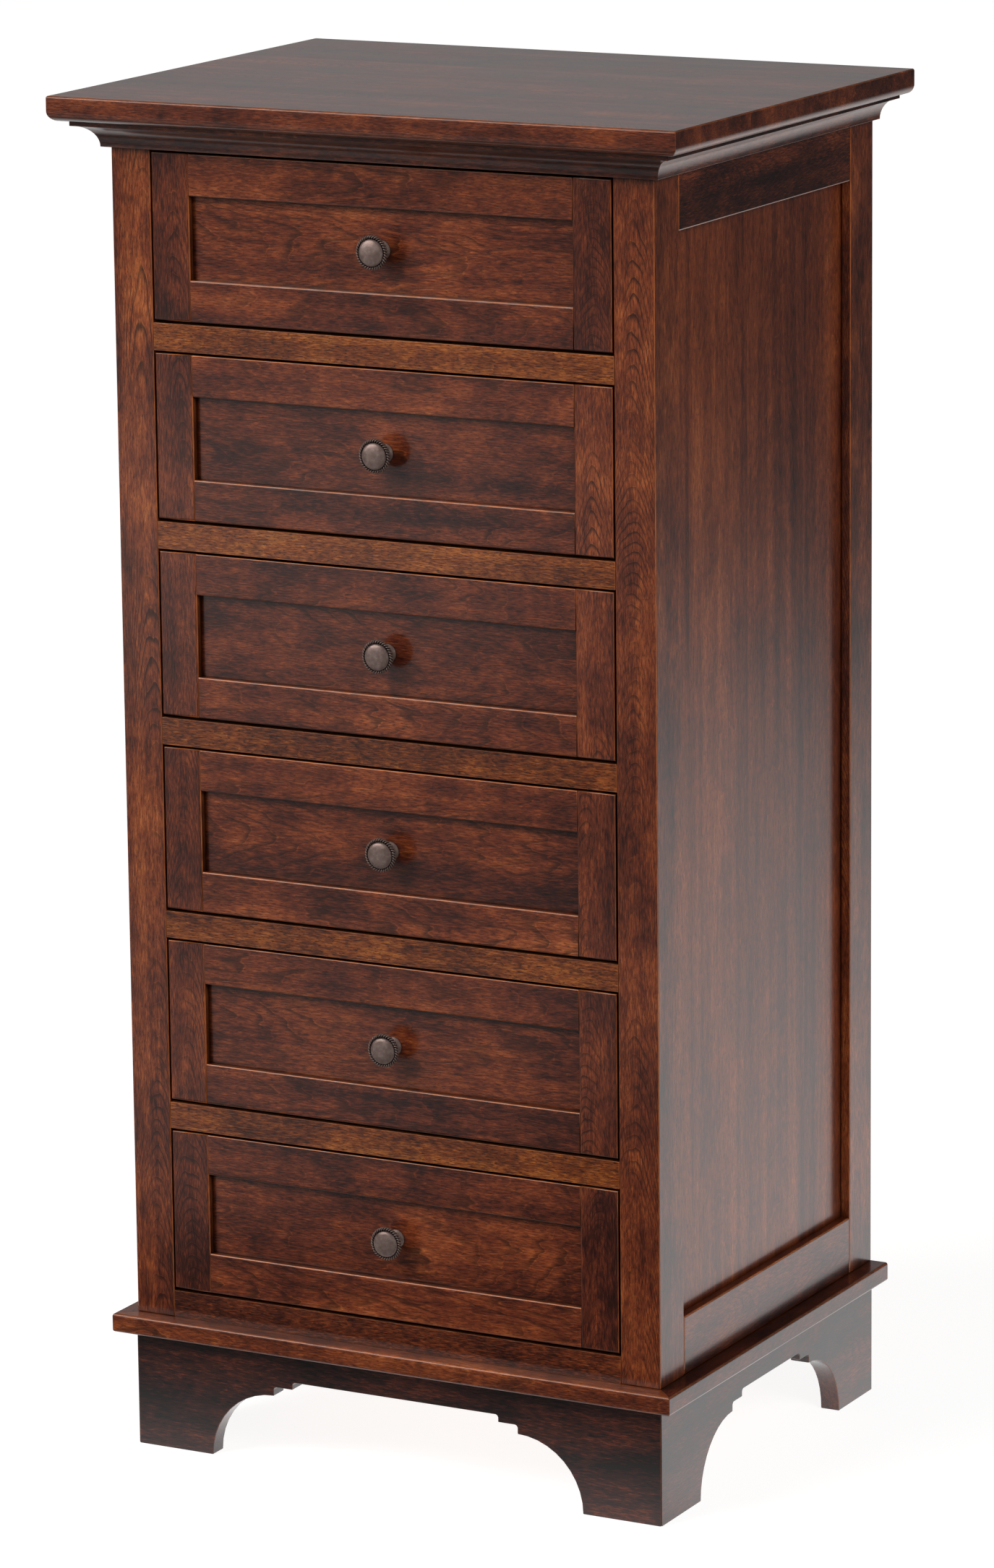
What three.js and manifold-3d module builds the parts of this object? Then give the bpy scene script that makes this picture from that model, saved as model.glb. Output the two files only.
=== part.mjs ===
// A six-drawer jewelry chest in stained cherry: a frame-and-panel case with bracket feet,
// a cove crown under the top slab, and inset drawers that slide on wooden web frames.
// Millimetres. +Z is up, the drawer fronts face -Y and +X is the right-hand side.
// The origin is the centre of the bounding box's bottom face.
import * as THREE from "three";
import { mergeVertices } from "three/addons/utils/BufferGeometryUtils.js";
import Module from "manifold-3d";

// Overall case.
const HEIGHT = 1270;
const CASE_WIDTH = 546;
const CASE_DEPTH = 448;
const SLAB_THICKNESS = 23;
const SLAB_OVERHANG = 42;
const SLAB_DEPTH = CASE_DEPTH + SLAB_OVERHANG;
const SLAB_BOTTOM_ROUND = 9;
const SLAB_TOP_EASE = 2;

// Base, from the floor up.
const BASE_HEIGHT = 111;
const BASE_PROUD = 1;
const BASE_BOARD_THICKNESS = 19;
const MOULDING_THICKNESS = 18;
const MOULDING_OVERHANG = 17.5;
const MOULDING_INSET = 45;
const MOULDING_ROUND = 2.5;
const FOOT_WIDTH = 80;
const REAR_FOOT_WIDTH = 74;
const FOOT_CURVE = 66.5;
const FOOT_STEP_WIDTH = 20;
const FOOT_FIRST_STEP_Z = 75;
const APRON_Z = 82;
const STEP_ROUND = 3;

// Crown moulding under the slab.
const CROWN_HEIGHT = 25;
const CROWN_FOOT = 7;
const COVE_RADIUS = 20;

// Frame-and-panel case.
const POST_WIDTH = 40;
const POST_DEPTH = 48;
const SIDE_RAIL_THICKNESS = 22;
const SIDE_TOP_RAIL_HEIGHT = 77;
const SIDE_BOTTOM_RAIL_HEIGHT = 55;
const SIDE_PANEL_THICKNESS = 8;
const SIDE_PANEL_RECESS = 10;
const GROOVE_DEPTH = 8;
const FIT_GAP = 0.25;
const BACK_THICKNESS = 6;
const BACK_RABBET = 8;

// Web frames between the drawers.
const RAIL_HEIGHT = 25.5;
const WEB_FRONT_RAIL = 60;
const WEB_RUNNER = 45;

// Drawers.
const DRAWER_COUNT = 6;
const DRAWER_PITCH = 182;
const FRONT_HEIGHT = 152;
const FRONT_THICKNESS = 20;
const FRONT_SIDE_GAP = 1.75;
const FRONT_BOTTOM_GAP = 2.5;
const FRAME_MEMBER = 38;
const FRAME_PANEL_RECESS = 7;
const FRAME_REBATE = 8;
const BOX_SIDE_GAP = 5;
const BOX_RUNNING_GAP = 0.5;
const BOX_HEIGHT = 130;
const BOX_DEPTH = 388;
const BOX_WALL = 12;
const BOX_BOTTOM_THICKNESS = 5;
const BOX_BOTTOM_RAISE = 10;
const BOX_GROOVE = 6;

// Knob, turned, with a raised rim: [radius, distance out from the drawer panel].
const KNOB_OUTLINE = [
  [0, 0], [9, 0], [9, 1.2], [7.5, 2.5], [6, 5], [5.6, 9], [7.5, 12], [12.5, 14.3],
  [15.875, 16], [15.875, 19.5], [14.5, 21], [13, 20.5], [12, 20.5], [7, 22], [0, 22.5],
];
const KNOB_SEGMENTS = 24;
const ARC_STEPS = 10;
const MITRE_GAP = 0.15;

// How far a groove or an opening is cut past the solid's own face.
const CUT_PAST = 1;
const RECTANGLE_CORNERS = 4;

// Derived planes and levels.
const HALF_WIDTH = CASE_WIDTH / 2;
const BACK_Y = SLAB_DEPTH / 2;
const FRONT_Y = BACK_Y - CASE_DEPTH;
const CASE_BOTTOM = BASE_HEIGHT + MOULDING_THICKNESS;
const CASE_TOP = HEIGHT - SLAB_THICKNESS;
const OPENING_HALF = HALF_WIDTH - POST_WIDTH;
const FRONT_HALF = OPENING_HALF - FRONT_SIDE_GAP;
const BOX_HALF = OPENING_HALF - BOX_SIDE_GAP;
const POST_BACK_OF_FRONT = FRONT_Y + POST_DEPTH;
const POST_FRONT_OF_BACK = BACK_Y - POST_DEPTH;
const BACK_PANEL_Y = BACK_Y - BACK_THICKNESS;
const PANEL_OUTER_X = HALF_WIDTH - SIDE_PANEL_RECESS;
const PANEL_INNER_X = PANEL_OUTER_X - SIDE_PANEL_THICKNESS;
const LOWEST_FRONT_Z = CASE_BOTTOM + RAIL_HEIGHT + FRONT_BOTTOM_GAP;

const wasm = await Module();
wasm.setup();

const cherry = { color: 0x5a2c1a, roughness: 0.35, metalness: 0 };
const maple = { color: 0xc9a06c, roughness: 0.55, metalness: 0 };
const plywood = { color: 0xb78a58, roughness: 0.65, metalness: 0 };
const pewter = { color: 0x6f665f, roughness: 0.38, metalness: 0.9 };

const chest = new THREE.Group();

function addMesh(parent, name, geometry, finish) {
  const mesh = new THREE.Mesh(geometry, new THREE.MeshStandardMaterial(finish));
  mesh.name = name;
  parent.add(mesh);
  return mesh;
}

// Booleans.
function toSolid(geometry) {
  const bare = geometry.clone();
  bare.deleteAttribute("normal");
  bare.deleteAttribute("uv");
  const merged = mergeVertices(bare);
  return new wasm.Manifold(new wasm.Mesh({
    numProp: 3,
    vertProperties: merged.attributes.position.array,
    triVerts: new Uint32Array(merged.index.array),
  }));
}

function toGeometry(solid) {
  const { vertProperties, triVerts } = solid.getMesh();
  const geometry = new THREE.BufferGeometry();
  geometry.setAttribute("position", new THREE.BufferAttribute(vertProperties, 3));
  geometry.setIndex(new THREE.BufferAttribute(triVerts, 1));
  geometry.computeVertexNormals();
  return geometry;
}

function subtract(geometry, ...cutters) {
  let solid = toSolid(geometry);
  for (const cutter of cutters) {
    solid = solid.subtract(toSolid(cutter));
  }
  return toGeometry(solid);
}

// Shape helpers.
function block([x0, x1], [y0, y1], [z0, z1]) {
  return new THREE.BoxGeometry(x1 - x0, y1 - y0, z1 - z0)
    .translate((x0 + x1) / 2, (y0 + y1) / 2, (z0 + z1) / 2);
}

function toPoints(outline) {
  return outline.map(([x, y]) => new THREE.Vector2(x, y));
}

function extrude(shape, depth) {
  return new THREE.ExtrudeGeometry(shape, { depth, bevelEnabled: false });
}

function extrudeUp(outline, z0, z1, hole) {
  const shape = new THREE.Shape(toPoints(outline));
  if (hole) shape.holes.push(new THREE.Path(toPoints(hole)));
  return extrude(shape, z1 - z0).translate(0, 0, z0);
}

function rectangle([x0, x1], [y0, y1]) {
  return [[x0, y0], [x1, y0], [x1, y1], [x0, y1]];
}

function quarterArc([cx, cy], radius, startDegrees, endDegrees) {
  const start = THREE.MathUtils.degToRad(startDegrees);
  const step = THREE.MathUtils.degToRad(endDegrees - startDegrees) / ARC_STEPS;
  return Array.from({ length: ARC_STEPS + 1 }, (_, i) => {
    const angle = start + step * i;
    return [cx + radius * Math.cos(angle), cy + radius * Math.sin(angle)];
  });
}

// A group whose x runs along a case face, y is up and z points out of that face.
const UP = new THREE.Vector3(0, 0, 1);

function faceGroup(outward, distance) {
  const group = new THREE.Group();
  const along = new THREE.Vector3().crossVectors(UP, outward);
  group.quaternion.setFromRotationMatrix(new THREE.Matrix4().makeBasis(along, UP, outward));
  group.position.copy(outward).multiplyScalar(distance);
  chest.add(group);
  return group;
}

const faces = {
  front: faceGroup(new THREE.Vector3(0, -1, 0), -FRONT_Y),
  right: faceGroup(new THREE.Vector3(1, 0, 0), HALF_WIDTH),
  left: faceGroup(new THREE.Vector3(-1, 0, 0), HALF_WIDTH),
};

// The stretch of each face: where it starts and ends, and which ends are mitred.
const RUNS = {
  front: { from: -HALF_WIDTH, to: HALF_WIDTH, mitreFrom: true, mitreTo: true },
  right: { from: FRONT_Y, to: BACK_Y, mitreFrom: true, mitreTo: false },
  left: { from: -BACK_Y, to: -FRONT_Y, mitreFrom: false, mitreTo: true },
};

// Moves the end vertices of a straight run so that its ends become 45 degree mitres.
function mitre(geometry, run) {
  const middle = (run.from + run.to) / 2;
  const position = geometry.attributes.position;
  for (let i = 0; i < position.count; i += 1) {
    const outward = position.getZ(i) - MITRE_GAP;
    const x = position.getX(i);
    if (x < middle && run.mitreFrom && x === run.from) position.setX(i, x - outward);
    if (x > middle && run.mitreTo && x === run.to) position.setX(i, x + outward);
  }
  return geometry;
}

// A moulding: an outline of [outward, height] points swept along one face.
function moulding(outline, run) {
  const swept = extrude(new THREE.Shape(toPoints(outline)), run.to - run.from);
  swept.applyMatrix4(new THREE.Matrix4().set(
    0, 0, -1, run.to,
    0, 1, 0, 0,
    1, 0, 0, 0,
    0, 0, 0, 1,
  ));
  return mitre(swept, run);
}

// Top slab: a stack of rectangles, inset where its front and side edges are rounded.
function topSlab() {
  const halfWidth = HALF_WIDTH + SLAB_OVERHANG;
  const halfDepth = SLAB_DEPTH / 2;
  const roundCentre = [SLAB_BOTTOM_ROUND, CASE_TOP + SLAB_BOTTOM_ROUND];
  const easeCentre = [SLAB_TOP_EASE, HEIGHT - SLAB_TOP_EASE];
  const levels = [
    ...quarterArc(roundCentre, SLAB_BOTTOM_ROUND, 270, 180),
    ...quarterArc(easeCentre, SLAB_TOP_EASE, 180, 90),
  ];
  const vertices = levels.flatMap(([inset, z]) => [
    [-halfWidth + inset, -halfDepth + inset, z],
    [halfWidth - inset, -halfDepth + inset, z],
    [halfWidth - inset, halfDepth, z],
    [-halfWidth + inset, halfDepth, z],
  ]);
  const triangles = [0, 2, 1, 0, 3, 2];
  for (let level = 0; level < levels.length - 1; level += 1) {
    for (let corner = 0; corner < RECTANGLE_CORNERS; corner += 1) {
      const a = level * RECTANGLE_CORNERS + corner;
      const b = level * RECTANGLE_CORNERS + ((corner + 1) % RECTANGLE_CORNERS);
      const aboveA = a + RECTANGLE_CORNERS;
      const aboveB = b + RECTANGLE_CORNERS;
      triangles.push(a, b, aboveB, a, aboveB, aboveA);
    }
  }
  const last = (levels.length - 1) * RECTANGLE_CORNERS;
  triangles.push(last, last + 1, last + 2, last, last + 2, last + 3);
  const geometry = new THREE.BufferGeometry();
  geometry.setAttribute("position", new THREE.Float32BufferAttribute(vertices.flat(), 3));
  geometry.setIndex(triangles);
  geometry.computeVertexNormals();
  return geometry;
}

// Crown: a plain foot, a cove and a fillet under the slab.
function crownOutline() {
  const bottom = CASE_TOP - CROWN_HEIGHT;
  const outer = CROWN_FOOT + COVE_RADIUS;
  return [
    [0, bottom],
    ...quarterArc([outer, bottom], COVE_RADIUS, 180, 90),
    [outer, CASE_TOP],
    [0, CASE_TOP],
  ];
}

// Base moulding: a flat board under the case, with its outer edges rounded.
function baseMouldingOutline() {
  const outer = MOULDING_OVERHANG - MOULDING_ROUND;
  return [
    [-MOULDING_INSET, BASE_HEIGHT],
    ...quarterArc([outer, BASE_HEIGHT + MOULDING_ROUND], MOULDING_ROUND, 270, 360),
    ...quarterArc([outer, CASE_BOTTOM - MOULDING_ROUND], MOULDING_ROUND, 0, 90),
    [-MOULDING_INSET, CASE_BOTTOM],
  ];
}

// One foot's inner edge, walked from the floor up to the apron; distances run in from the foot's outer end.
function footEdge(footWidth) {
  const curveEnd = footWidth + FOOT_CURVE;
  const stepEnd = curveEnd + FOOT_STEP_WIDTH;
  return [
    ...quarterArc([curveEnd, 0], FOOT_CURVE, 180, 90),
    ...quarterArc([curveEnd + STEP_ROUND, FOOT_FIRST_STEP_Z - STEP_ROUND], STEP_ROUND, 180, 90),
    [stepEnd, FOOT_FIRST_STEP_Z],
    ...quarterArc([stepEnd + STEP_ROUND, APRON_Z - STEP_ROUND], STEP_ROUND, 180, 90),
  ];
}

// A bracket-foot board on one face, with a foot at each end.
function bracketBoard(run, firstFoot, lastFoot) {
  const start = run.mitreFrom ? run.from - BASE_PROUD : run.from;
  const end = run.mitreTo ? run.to + BASE_PROUD : run.to;
  const inner = footEdge(firstFoot).map(([x, z]) => [start + x, z]);
  const outer = footEdge(lastFoot).map(([x, z]) => [end - x, z]).reverse();
  const outline = [
    [run.from, 0],
    ...inner,
    ...outer,
    [run.to, 0],
    [run.to, BASE_HEIGHT],
    [run.from, BASE_HEIGHT],
  ];
  return mitre(extrudeUp(outline, BASE_PROUD - BASE_BOARD_THICKNESS, BASE_PROUD), run);
}

// The plain board across the back, which rises between the side mouldings to close the base.
function backApron() {
  const wide = HALF_WIDTH + BASE_PROUD - BASE_BOARD_THICKNESS;
  const narrow = HALF_WIDTH - MOULDING_INSET - FIT_GAP;
  const outline = [
    [-wide, APRON_Z],
    [wide, APRON_Z],
    [wide, BASE_HEIGHT],
    [narrow, BASE_HEIGHT],
    [narrow, CASE_BOTTOM],
    [-narrow, CASE_BOTTOM],
    [-narrow, BASE_HEIGHT],
    [-wide, BASE_HEIGHT],
  ];
  return extrude(new THREE.Shape(toPoints(outline)), BASE_BOARD_THICKNESS)
    .rotateX(Math.PI / 2)
    .translate(0, BACK_Y, 0);
}

function addRuns() {
  for (const [face, run] of Object.entries(RUNS)) {
    addMesh(faces[face], `crown_${face}`, moulding(crownOutline(), run), cherry);
    addMesh(faces[face], `base_moulding_${face}`, moulding(baseMouldingOutline(), run), cherry);
    const firstFoot = face === "left" ? REAR_FOOT_WIDTH : FOOT_WIDTH;
    const lastFoot = face === "right" ? REAR_FOOT_WIDTH : FOOT_WIDTH;
    addMesh(faces[face], `base_board_${face}`, bracketBoard(run, firstFoot, lastFoot), cherry);
  }
  addMesh(chest, "base_board_back", backApron(), cherry);
}

// Posts are drawn for the right-hand side and turned over for the left.
const grooveX = [PANEL_INNER_X - FIT_GAP, PANEL_OUTER_X + FIT_GAP];

function postSection(side, isFront) {
  const y0 = isFront ? FRONT_Y : BACK_Y;
  const y1 = isFront ? POST_BACK_OF_FRONT : POST_FRONT_OF_BACK;
  const grooveY = isFront ? y1 - GROOVE_DEPTH : y1 + GROOVE_DEPTH;
  const rabbetX = OPENING_HALF + BACK_RABBET;
  const rabbet = [[OPENING_HALF, BACK_PANEL_Y], [rabbetX, BACK_PANEL_Y], [rabbetX, y0]];
  const outline = [
    ...(isFront ? [[OPENING_HALF, y0]] : rabbet),
    [HALF_WIDTH, y0],
    [HALF_WIDTH, y1],
    [grooveX[1], y1],
    [grooveX[1], grooveY],
    [grooveX[0], grooveY],
    [grooveX[0], y1],
    [OPENING_HALF, y1],
  ];
  return outline.map(([x, y]) => [side * x, y]);
}

function sideRail(side, z0, z1, grooveZ) {
  const x = [HALF_WIDTH - SIDE_RAIL_THICKNESS, HALF_WIDTH];
  const y = [POST_BACK_OF_FRONT, POST_FRONT_OF_BACK];
  const groove = block(mirrored(grooveX, side), [y[0] - CUT_PAST, y[1] + CUT_PAST], grooveZ);
  return subtract(block(mirrored(x, side), y, [z0, z1]), groove);
}

function mirrored([x0, x1], side) {
  return side > 0 ? [x0, x1] : [-x1, -x0];
}

function addCaseSide(label, side) {
  const topRailZ = CASE_TOP - SIDE_TOP_RAIL_HEIGHT;
  const bottomRailZ = CASE_BOTTOM + SIDE_BOTTOM_RAIL_HEIGHT;
  addMesh(chest, `post_front_${label}`, extrudeUp(postSection(side, true), CASE_BOTTOM, CASE_TOP), cherry);
  addMesh(chest, `post_back_${label}`, extrudeUp(postSection(side, false), CASE_BOTTOM, CASE_TOP), cherry);
  const topGrooveZ = [topRailZ - CUT_PAST, topRailZ + GROOVE_DEPTH];
  const bottomGrooveZ = [bottomRailZ - GROOVE_DEPTH, bottomRailZ + CUT_PAST];
  const topRail = sideRail(side, topRailZ, CASE_TOP, topGrooveZ);
  const bottomRail = sideRail(side, CASE_BOTTOM, bottomRailZ, bottomGrooveZ);
  addMesh(chest, `side_top_rail_${label}`, topRail, cherry);
  addMesh(chest, `side_bottom_rail_${label}`, bottomRail, cherry);
  const reach = GROOVE_DEPTH - FIT_GAP;
  const panel = block(
    mirrored([PANEL_INNER_X, PANEL_OUTER_X], side),
    [POST_BACK_OF_FRONT - reach, POST_FRONT_OF_BACK + reach],
    [bottomRailZ - reach, topRailZ + reach],
  );
  addMesh(chest, `side_panel_${label}`, panel, cherry);
}

function addBack() {
  const half = OPENING_HALF + BACK_RABBET - FIT_GAP;
  const panel = block([-half, half], [BACK_PANEL_Y, BACK_Y], [CASE_BOTTOM, CASE_TOP]);
  addMesh(chest, "back_panel", panel, plywood);
}

// A web frame: the front rail shows between the drawers and the two runners carry a drawer.
function addWebFrame(name, z0, z1) {
  const outer = rectangle([-OPENING_HALF, OPENING_HALF], [FRONT_Y, BACK_PANEL_Y]);
  const holeHalf = OPENING_HALF - WEB_RUNNER;
  const hole = rectangle([-holeHalf, holeHalf], [FRONT_Y + WEB_FRONT_RAIL, BACK_PANEL_Y - WEB_RUNNER]);
  addMesh(chest, name, extrudeUp(outer, z0, z1, hole), cherry);
}

function addWebFrames() {
  addWebFrame("bottom_frame", CASE_BOTTOM, CASE_BOTTOM + RAIL_HEIGHT);
  for (let number = 1; number < DRAWER_COUNT; number += 1) {
    const top = LOWEST_FRONT_Z + (DRAWER_COUNT - number) * DRAWER_PITCH - FRONT_BOTTOM_GAP;
    addWebFrame(`divider_frame_${number}`, top - RAIL_HEIGHT, top);
  }
  addWebFrame("top_frame", CASE_TOP - RAIL_HEIGHT, CASE_TOP);
}

// Drawer parts, in a group whose origin is the bottom of the drawer front on the case's front plane.
function frontFrame() {
  const outer = block([-FRONT_HALF, FRONT_HALF], [0, FRONT_THICKNESS], [0, FRONT_HEIGHT]);
  const openHalf = FRONT_HALF - FRAME_MEMBER;
  const openZ = [FRAME_MEMBER, FRONT_HEIGHT - FRAME_MEMBER];
  const cutBack = FRONT_THICKNESS + CUT_PAST;
  const opening = block([-openHalf, openHalf], [-CUT_PAST, cutBack], openZ);
  const rebate = block(
    [-openHalf - FRAME_REBATE, openHalf + FRAME_REBATE],
    [FRAME_PANEL_RECESS, cutBack],
    [openZ[0] - FRAME_REBATE, openZ[1] + FRAME_REBATE],
  );
  return subtract(outer, opening, rebate);
}

function frontPanel() {
  const reach = FRAME_REBATE - FIT_GAP;
  const half = FRONT_HALF - FRAME_MEMBER + reach;
  const z = [FRAME_MEMBER - reach, FRONT_HEIGHT - FRAME_MEMBER + reach];
  return block([-half, half], [FRAME_PANEL_RECESS, FRONT_THICKNESS], z);
}

const boxY = [FRONT_THICKNESS, FRONT_THICKNESS + BOX_DEPTH];
const boxZ0 = BOX_RUNNING_GAP - FRONT_BOTTOM_GAP;
const boxBottomZ = [boxZ0 + BOX_BOTTOM_RAISE, boxZ0 + BOX_BOTTOM_RAISE + BOX_BOTTOM_THICKNESS];

function drawerBox() {
  const outer = rectangle([-BOX_HALF, BOX_HALF], boxY);
  const innerHalf = BOX_HALF - BOX_WALL;
  const innerY = [boxY[0] + BOX_WALL, boxY[1] - BOX_WALL];
  const inner = rectangle([-innerHalf, innerHalf], innerY);
  const walls = extrudeUp(outer, boxZ0, boxZ0 + BOX_HEIGHT, inner);
  const groove = block(
    [-innerHalf - BOX_GROOVE, innerHalf + BOX_GROOVE],
    [innerY[0] - BOX_GROOVE, innerY[1] + BOX_GROOVE],
    [boxBottomZ[0] - FIT_GAP, boxBottomZ[1] + FIT_GAP],
  );
  return subtract(walls, groove);
}

function drawerBottom() {
  const reach = BOX_GROOVE - FIT_GAP;
  const half = BOX_HALF - BOX_WALL + reach;
  return block([-half, half], [boxY[0] + BOX_WALL - reach, boxY[1] - BOX_WALL + reach], boxBottomZ);
}

function knob() {
  return new THREE.LatheGeometry(toPoints(KNOB_OUTLINE), KNOB_SEGMENTS);
}

function addDrawer(number) {
  const drawer = new THREE.Group();
  drawer.position.set(0, FRONT_Y, LOWEST_FRONT_Z + (DRAWER_COUNT - number) * DRAWER_PITCH);
  chest.add(drawer);
  addMesh(drawer, `drawer_${number}_front_frame`, frontFrame(), cherry);
  addMesh(drawer, `drawer_${number}_front_panel`, frontPanel(), cherry);
  addMesh(drawer, `drawer_${number}_box`, drawerBox(), maple);
  addMesh(drawer, `drawer_${number}_bottom`, drawerBottom(), plywood);
  const knobMesh = addMesh(drawer, `drawer_${number}_knob`, knob(), pewter);
  knobMesh.position.set(0, FRAME_PANEL_RECESS, FRONT_HEIGHT / 2);
  knobMesh.rotation.x = Math.PI;
}

addMesh(chest, "top_slab", topSlab(), cherry);
addRuns();
addCaseSide("left", -1);
addCaseSide("right", 1);
addBack();
addWebFrames();
for (let number = 1; number <= DRAWER_COUNT; number += 1) {
  addDrawer(number);
}

export default chest;
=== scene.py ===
import math

import bmesh
import bpy
from mathutils import Matrix, Vector


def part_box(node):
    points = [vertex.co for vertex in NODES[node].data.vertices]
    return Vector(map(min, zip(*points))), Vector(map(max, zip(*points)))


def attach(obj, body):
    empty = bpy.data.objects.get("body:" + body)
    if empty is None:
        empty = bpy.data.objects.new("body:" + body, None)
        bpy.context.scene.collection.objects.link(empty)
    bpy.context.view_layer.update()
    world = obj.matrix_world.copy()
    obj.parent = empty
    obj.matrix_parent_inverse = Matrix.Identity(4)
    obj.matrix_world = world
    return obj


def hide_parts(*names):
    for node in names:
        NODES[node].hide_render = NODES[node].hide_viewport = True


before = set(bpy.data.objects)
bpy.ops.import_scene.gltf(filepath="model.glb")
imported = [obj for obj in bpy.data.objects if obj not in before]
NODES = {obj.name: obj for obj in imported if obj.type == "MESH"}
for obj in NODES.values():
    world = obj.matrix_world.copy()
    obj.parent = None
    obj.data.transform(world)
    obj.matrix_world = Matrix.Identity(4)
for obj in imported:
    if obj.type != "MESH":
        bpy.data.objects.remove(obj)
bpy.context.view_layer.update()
DRAWERS = range(1, 7)
SIDES = ("left", "right")

# Camera.
CAMERA_PLACE = (2.89380, -5.40767, 2.01031)
CAMERA_YAW = math.radians(28.1125)
CAMERA_PITCH = math.radians(12.7839)
CAMERA_ROLL = math.radians(-0.6198)
CAMERA_LENS_MM = 155.94

# Light.
FLOOR_GLOW = 0.90
BOUNCE = 1.15
FRONT_LEFT_GLOW = 0.45
SUN_POWER = 1.35
KEY_POWER = 80
BACK_POWER = 5.6
LOW_LEFT_POWER = 1.45
LOW_RIGHT_POWER = 2.2
RIGHT_POWER = 80
WORLD_GLOW = 0.05

# Softened edges.
CASE_EASE = 0.0012
JOINT_EASE = 0.0003
RAIL_EASE = 0.0022
FRONT_OUTER_EASE = 0.0009
FRONT_INNER_EASE = 0.0018
FRONT_LOWER_EASE = 0.0024
BOX_EASE = 0.0006
DOVETAIL_EASE = 0.4 * BOX_EASE
EASE_SEGMENTS = 2
FRONT_EASE_SEGMENTS = 4
DISSOLVE_ANGLE = math.radians(0.5)
BEVEL_ANGLE = math.radians(35)

# How much shade is painted into tight corners, at the front and elsewhere; the front's value also paints
# shade along the lower and left-hand rounded edges.
FRONT_PAINTED_SHADE = 0.58
SIDE_PAINTED_SHADE = 0.42

# How strongly the edges take the bare-wood colour: wear on every edge, plus a painted highlight on upper and
# right-hand rounded edges.
BOARD_WEAR_AND_HIGHLIGHT = 0.7
FRONT_WEAR_AND_HIGHLIGHT = 0.6
MOULDED_WEAR_AND_HIGHLIGHT = 0.22

# Drawer fronts.
MEMBER = 0.038
REBATE = 0.0081
PANEL_RECESS = 0.0069
RAIL_END_SHARE = 0.08

# Knob, turned, as (radius, distance out from the panel), and the rope round its rim.
KNOB_PROFILE = (
    (0.0, 0.0), (0.0086, 0.0), (0.0088, 0.0003), (0.0088, 0.0009), (0.0083, 0.0014), (0.0076, 0.0019),
    (0.0069, 0.0027), (0.0061, 0.0040), (0.0056, 0.0056), (0.0054, 0.0072), (0.0056, 0.0088),
    (0.0064, 0.0102), (0.0080, 0.0116), (0.0102, 0.0130), (0.0124, 0.0142), (0.0135, 0.0151),
    (0.0137, 0.0158), (0.0131, 0.0167), (0.0125, 0.0177), (0.0122, 0.0189), (0.0122, 0.0200),
    (0.0119, 0.0208), (0.0110, 0.0214), (0.0092, 0.0219), (0.0066, 0.0223), (0.0034, 0.0225), (0.0, 0.0225),
)
KNOB_SEGMENTS = 64
ROPE_RADIUS = 0.01395
ROPE_OUT = 0.0185
ROPE_STRAND = 0.00165
STRAND_OFFSET = 0.55 * ROPE_STRAND
STRAND_RADIUS = 0.62 * ROPE_STRAND
ROPE_STRANDS = 2
ROPE_TURNS = 18
ROPE_STEPS = 440
ROPE_SIDES = 8

# The knob's screw with its washer, turned, as (radius, distance out from the wall).
KNOB_SCREW_RADIUS = 0.0042
WASHER_RADIUS = 1.5 * KNOB_SCREW_RADIUS
KNOB_SCREW_PROFILE = (
    (0, 0), (WASHER_RADIUS, 0), (WASHER_RADIUS, 0.0008), (WASHER_RADIUS - 0.0004, 0.001),
    (KNOB_SCREW_RADIUS, 0.001), (KNOB_SCREW_RADIUS, 0.0020), (KNOB_SCREW_RADIUS * 0.85, 0.0030),
    (KNOB_SCREW_RADIUS * 0.3, 0.0034), (KNOB_SCREW_RADIUS * 0.25, 0.0022), (0, 0.0022),
)
KNOB_SCREW_SEGMENTS = 32

# Screws of the back panel, turned, as (radius, distance out from the panel).
SCREW_HEAD = 0.0036
SCREW_PROFILE = (
    (0, 0), (SCREW_HEAD, 0), (SCREW_HEAD, 0.0006), (SCREW_HEAD * 0.85, 0.0014),
    (SCREW_HEAD * 0.5, 0.0018), (SCREW_HEAD * 0.42, 0.0008), (0, 0.0008),
)
SCREW_INSET = 0.0045
SCREW_END_INSET = 3 * SCREW_INSET
SCREWS_HIGH = 7
SCREWS_WIDE = 3
SCREW_SEGMENTS = 20

# Drawer boxes.
WALL = 0.012
TAILS = 4
TAIL_SLOPE = 0.0022
PIN_SHARE = 0.3
SIDE_WALL, END_WALL = 0, 1  # material slots of the box: grain along Y, grain along X
FELT_THICKNESS = 0.0014
FELT_MARGIN = 0.0006
FELT_CELLS = 60
FELT_GAP = 0.0002
FELT_WAVE = 0.0005
FELT_EDGE_SHARE = 0.125

# Stage.
FLOOR_SIZE = 80.0
FLOOR_DROP = 0.0005
BOUNCE_SIZE = 14.0
BOUNCE_DROP = 0.0010
BACKDROP_RADIUS = 39.0
BACKDROP_HEIGHT = 90.0
BACKDROP_SEGMENTS = 96


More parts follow.
